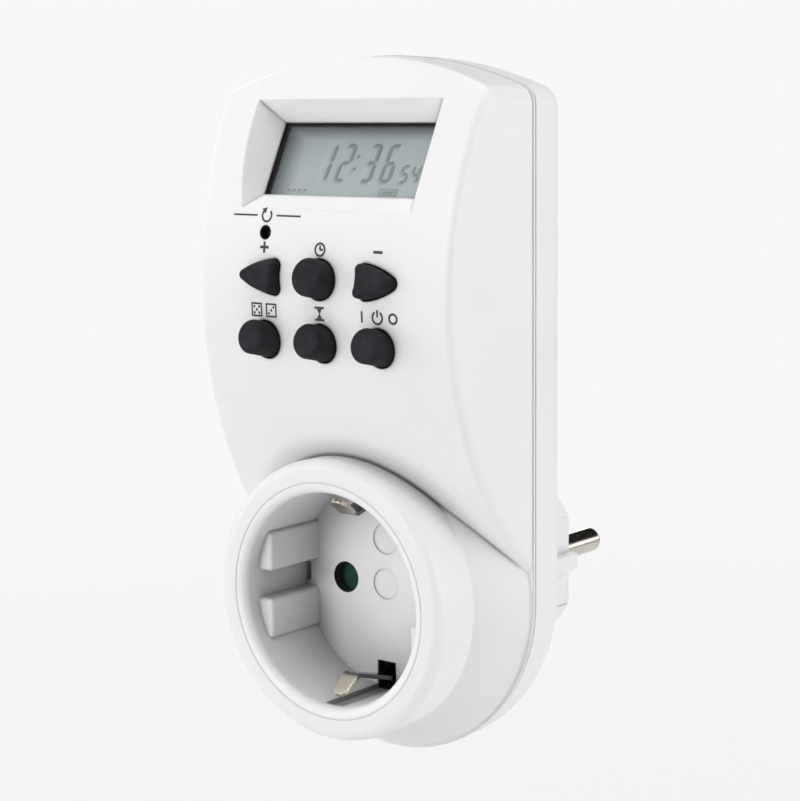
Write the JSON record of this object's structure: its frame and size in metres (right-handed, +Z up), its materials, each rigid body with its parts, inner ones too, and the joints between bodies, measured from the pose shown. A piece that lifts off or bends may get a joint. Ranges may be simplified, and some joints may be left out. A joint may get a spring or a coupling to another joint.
{
  "type": "plug-in digital timer",
  "caption": "Plug-in digital mains timer: tilted display over a key field, a shuttered round socket in front and a two-pin plug with side earth strips behind.",
  "frame": {"origin": "centre of the wall plug's face, midway between the two pins, where the plug meets the floor of a wall socket", "axes": "+X to the viewer's right, +Y into the wall along the plug pins, +Z up"},
  "size_m": [0.0628, 0.0785, 0.1279],
  "materials": {
    "shell_white": "fine satin moulded white",
    "insert_white": "smooth moulded white",
    "plug_white": "satin moulded white",
    "key_rubber": "matte black",
    "mat_rubber": "matte translucent grey",
    "gasket_rubber": "matte black foam",
    "window_clear": "clear polished",
    "lcd_grey": "grey green liquid crystal",
    "holder_white": "moulded white",
    "foil_film": "amber printed film",
    "board_green": "solder resist with tracks",
    "board_tan": "paper laminate",
    "chip_black": "black potting blob",
    "battery_steel": "brushed cell case",
    "crystal_tin": "tinned can",
    "shutter_green": "dark green moulded",
    "spring_steel": "drawn wire",
    "base_brown": "moulded thermoset",
    "contact_brass": "stamped brass",
    "earth_nickel": "nickel plated strip",
    "pin_nickel": "nickel plated turned pin",
    "screw_zinc": "zinc plated",
    "relay_blue": "moulded relay case",
    "film_yellow": "moulded capacitor box",
    "can_black": "shrink sleeve",
    "varistor_blue": "epoxy dip",
    "diode_black": "moulded body",
    "resistor_tan": "lacquered body",
    "transistor_black": "moulded body",
    "wire_red": "insulated wire",
    "wire_blue": "insulated wire",
    "cable_grey": "flat ribbed cable"
  },
  "bodies": {
    "housing": {"front_housing": "shell_white", "rear_housing": "shell_white", "socket_insert": "insert_white", "plug_body": "plug_white", "plug_pin_live": "pin_nickel", "plug_pin_neutral": "pin_nickel", "keypad_mat": "mat_rubber", "display_window": "window_clear", "display_gasket": "gasket_rubber", "lcd_glass": "lcd_grey", "lcd_holder": "holder_white", "lcd_foil": "foil_film", "control_board": "board_green", "control_chip": "chip_black", "quartz_crystal": "crystal_tin", "backup_battery": "battery_steel", "shutter_spring": "spring_steel", "contact_base": "base_brown", "live_contact": "contact_brass", "neutral_contact": "contact_brass", "live_busbar": "contact_brass", "earth_strip_top": "earth_nickel", "earth_strip_bottom": "earth_nickel", "earth_bridge": "earth_nickel", "power_board": "board_tan", "relay": "relay_blue", "film_capacitor": "film_yellow", "smoothing_capacitor": "can_black", "varistor": "varistor_blue", "rectifier_diodes": "diode_black", "dropper_resistor": "resistor_tan", "transistor": "transistor_black", "load_wire": "wire_red", "neutral_wire": "wire_blue", "ribbon_cable": "cable_grey", "housing_screws": "screw_zinc", "board_screws": "screw_zinc"},
    "key_up": {"key_up": "key_rubber"},
    "key_set": {"key_set": "key_rubber"},
    "key_down": {"key_down": "key_rubber"},
    "key_random": {"key_random": "key_rubber"},
    "key_countdown": {"key_countdown": "key_rubber"},
    "key_manual": {"key_manual": "key_rubber"},
    "reset_button": {"reset_button": "key_rubber"},
    "shutter": {"shutter": "shutter_green"}
  },
  "joints": [
    {"name": "key_up_press", "type": "slide", "parent": "housing", "child": "key_up", "axis": [0, 0.9781, -0.2079], "range_m": [0, 0.0008], "stiffness_N_per_m": 600, "springref_m": -0.0005, "deforming": ["keypad_mat"]},
    {"name": "key_set_press", "type": "slide", "parent": "housing", "child": "key_set", "axis": [0, 0.9781, -0.2079], "range_m": [0, 0.0008], "stiffness_N_per_m": 600, "springref_m": -0.0005, "deforming": ["keypad_mat"]},
    {"name": "key_down_press", "type": "slide", "parent": "housing", "child": "key_down", "axis": [0, 0.9781, -0.2079], "range_m": [0, 0.0008], "stiffness_N_per_m": 600, "springref_m": -0.0005, "deforming": ["keypad_mat"]},
    {"name": "key_random_press", "type": "slide", "parent": "housing", "child": "key_random", "axis": [0, 0.9781, -0.2079], "range_m": [0, 0.0008], "stiffness_N_per_m": 600, "springref_m": -0.0005, "deforming": ["keypad_mat"]},
    {"name": "key_countdown_press", "type": "slide", "parent": "housing", "child": "key_countdown", "axis": [0, 0.9781, -0.2079], "range_m": [0, 0.0008], "stiffness_N_per_m": 600, "springref_m": -0.0005, "deforming": ["keypad_mat"]},
    {"name": "key_manual_press", "type": "slide", "parent": "housing", "child": "key_manual", "axis": [0, 0.9781, -0.2079], "range_m": [0, 0.0008], "stiffness_N_per_m": 600, "springref_m": -0.0005, "deforming": ["keypad_mat"]},
    {"name": "reset_button_press", "type": "slide", "parent": "housing", "child": "reset_button", "axis": [0, 0.9781, -0.2079], "range_m": [0, 0.0008], "stiffness_N_per_m": 600, "springref_m": -0.0005, "deforming": ["keypad_mat"]},
    {"name": "shutter_turn", "type": "hinge", "parent": "housing", "child": "shutter", "pos_m": [0, -0.03365, 0], "axis": [0, 1, 0], "range_deg": [0, 42], "stiffness_Nm_per_rad": 0.01, "springref_deg": -17.19, "deforming": ["shutter_spring"]}
  ]
}
